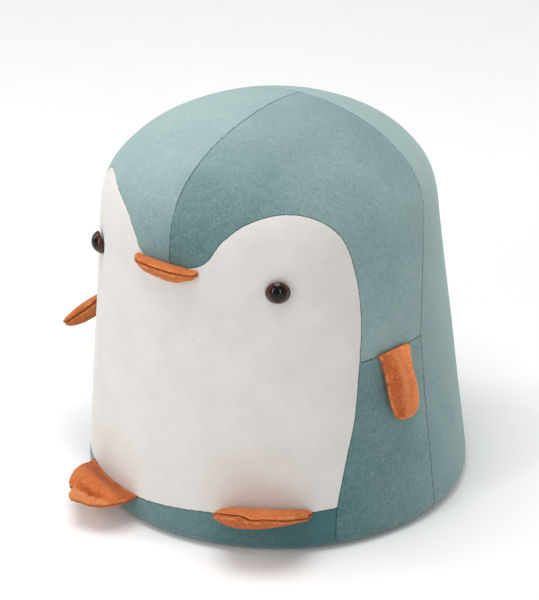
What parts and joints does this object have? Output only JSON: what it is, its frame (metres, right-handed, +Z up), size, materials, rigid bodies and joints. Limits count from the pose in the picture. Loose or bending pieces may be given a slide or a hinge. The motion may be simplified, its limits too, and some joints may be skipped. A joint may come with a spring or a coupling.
{
  "type": "penguin pouf",
  "caption": "Round upholstered children's pouf shaped as a penguin, with stuffed beak, wings and feet, glossy button eyes and a flat base on low glides.",
  "frame": {"origin": "on the floor below the middle of the round base", "axes": "+Z up, -Y the way the penguin looks, +X towards the penguin's own left wing"},
  "size_m": [0.3629, 0.345, 0.338],
  "materials": {
    "velvet": "short-pile velvet, grey teal",
    "belly_cloth": "short-pile velvet, off-white",
    "suede": "brushed suede cloth, burnt orange",
    "padding": "polyester fibre",
    "foam": "polyurethane foam",
    "plywood": "bare plywood",
    "base_cloth": "thin black non-woven cloth",
    "black_plastic": "moulded black plastic",
    "eye_lens": "clear dark brown, polished",
    "steel": "zinc plated"
  },
  "bodies": {
    "body": {"face_panel_left": "velvet", "face_panel_right": "velvet", "side_panel_left": "velvet", "side_panel_right": "velvet", "hem_band": "velvet", "back_panel": "velvet", "belly_panel": "belly_cloth", "wadding": "padding", "foam_core": "foam", "base_board": "plywood", "base_cloth": "base_cloth", "glide_front_left": "black_plastic", "glide_front_right": "black_plastic", "glide_rear_left": "black_plastic", "glide_rear_right": "black_plastic", "glide_screw_front_left": "steel", "glide_screw_front_right": "steel", "glide_screw_rear_left": "steel", "glide_screw_rear_right": "steel", "beak_upper": "suede", "beak_lower": "suede", "beak_filling": "padding", "eye_left_lens": "eye_lens", "eye_left_back": "black_plastic", "eye_left_washer": "black_plastic", "eye_right_lens": "eye_lens", "eye_right_back": "black_plastic", "eye_right_washer": "black_plastic"},
    "wing_left": {"wing_left_outer": "suede", "wing_left_inner": "suede", "wing_left_filling": "padding"},
    "wing_right": {"wing_right_outer": "suede", "wing_right_inner": "suede", "wing_right_filling": "padding"},
    "foot_left": {"foot_left_top": "suede", "foot_left_sole": "suede", "foot_left_filling": "padding"},
    "foot_right": {"foot_right_top": "suede", "foot_right_sole": "suede", "foot_right_filling": "padding"}
  },
  "joints": [
    {"name": "wing_left_flex", "type": "hinge", "parent": "body", "child": "wing_left", "pos_m": [0.14868, -0.04168, 0.1637], "axis": [-0.2847, -0.9586, 0], "range_deg": [0, 75], "stiffness_Nm_per_rad": 0.08},
    {"name": "wing_right_flex", "type": "hinge", "parent": "body", "child": "wing_right", "pos_m": [-0.15094, -0.04168, 0.1446], "axis": [-0.283, 0.9591, 0], "range_deg": [-30, 45], "stiffness_Nm_per_rad": 0.08},
    {"name": "foot_left_flex", "type": "hinge", "parent": "body", "child": "foot_left", "pos_m": [0.08059, -0.13828, 0.03619], "axis": [-0.8796, -0.4737, -0.0438], "range_deg": [-36, 24], "stiffness_Nm_per_rad": 0.15},
    {"name": "foot_right_flex", "type": "hinge", "parent": "body", "child": "foot_right", "pos_m": [-0.07703, -0.14094, 0.02491], "axis": [-0.8959, 0.4421, -0.0438], "range_deg": [-14, 46], "stiffness_Nm_per_rad": 0.15}
  ]
}
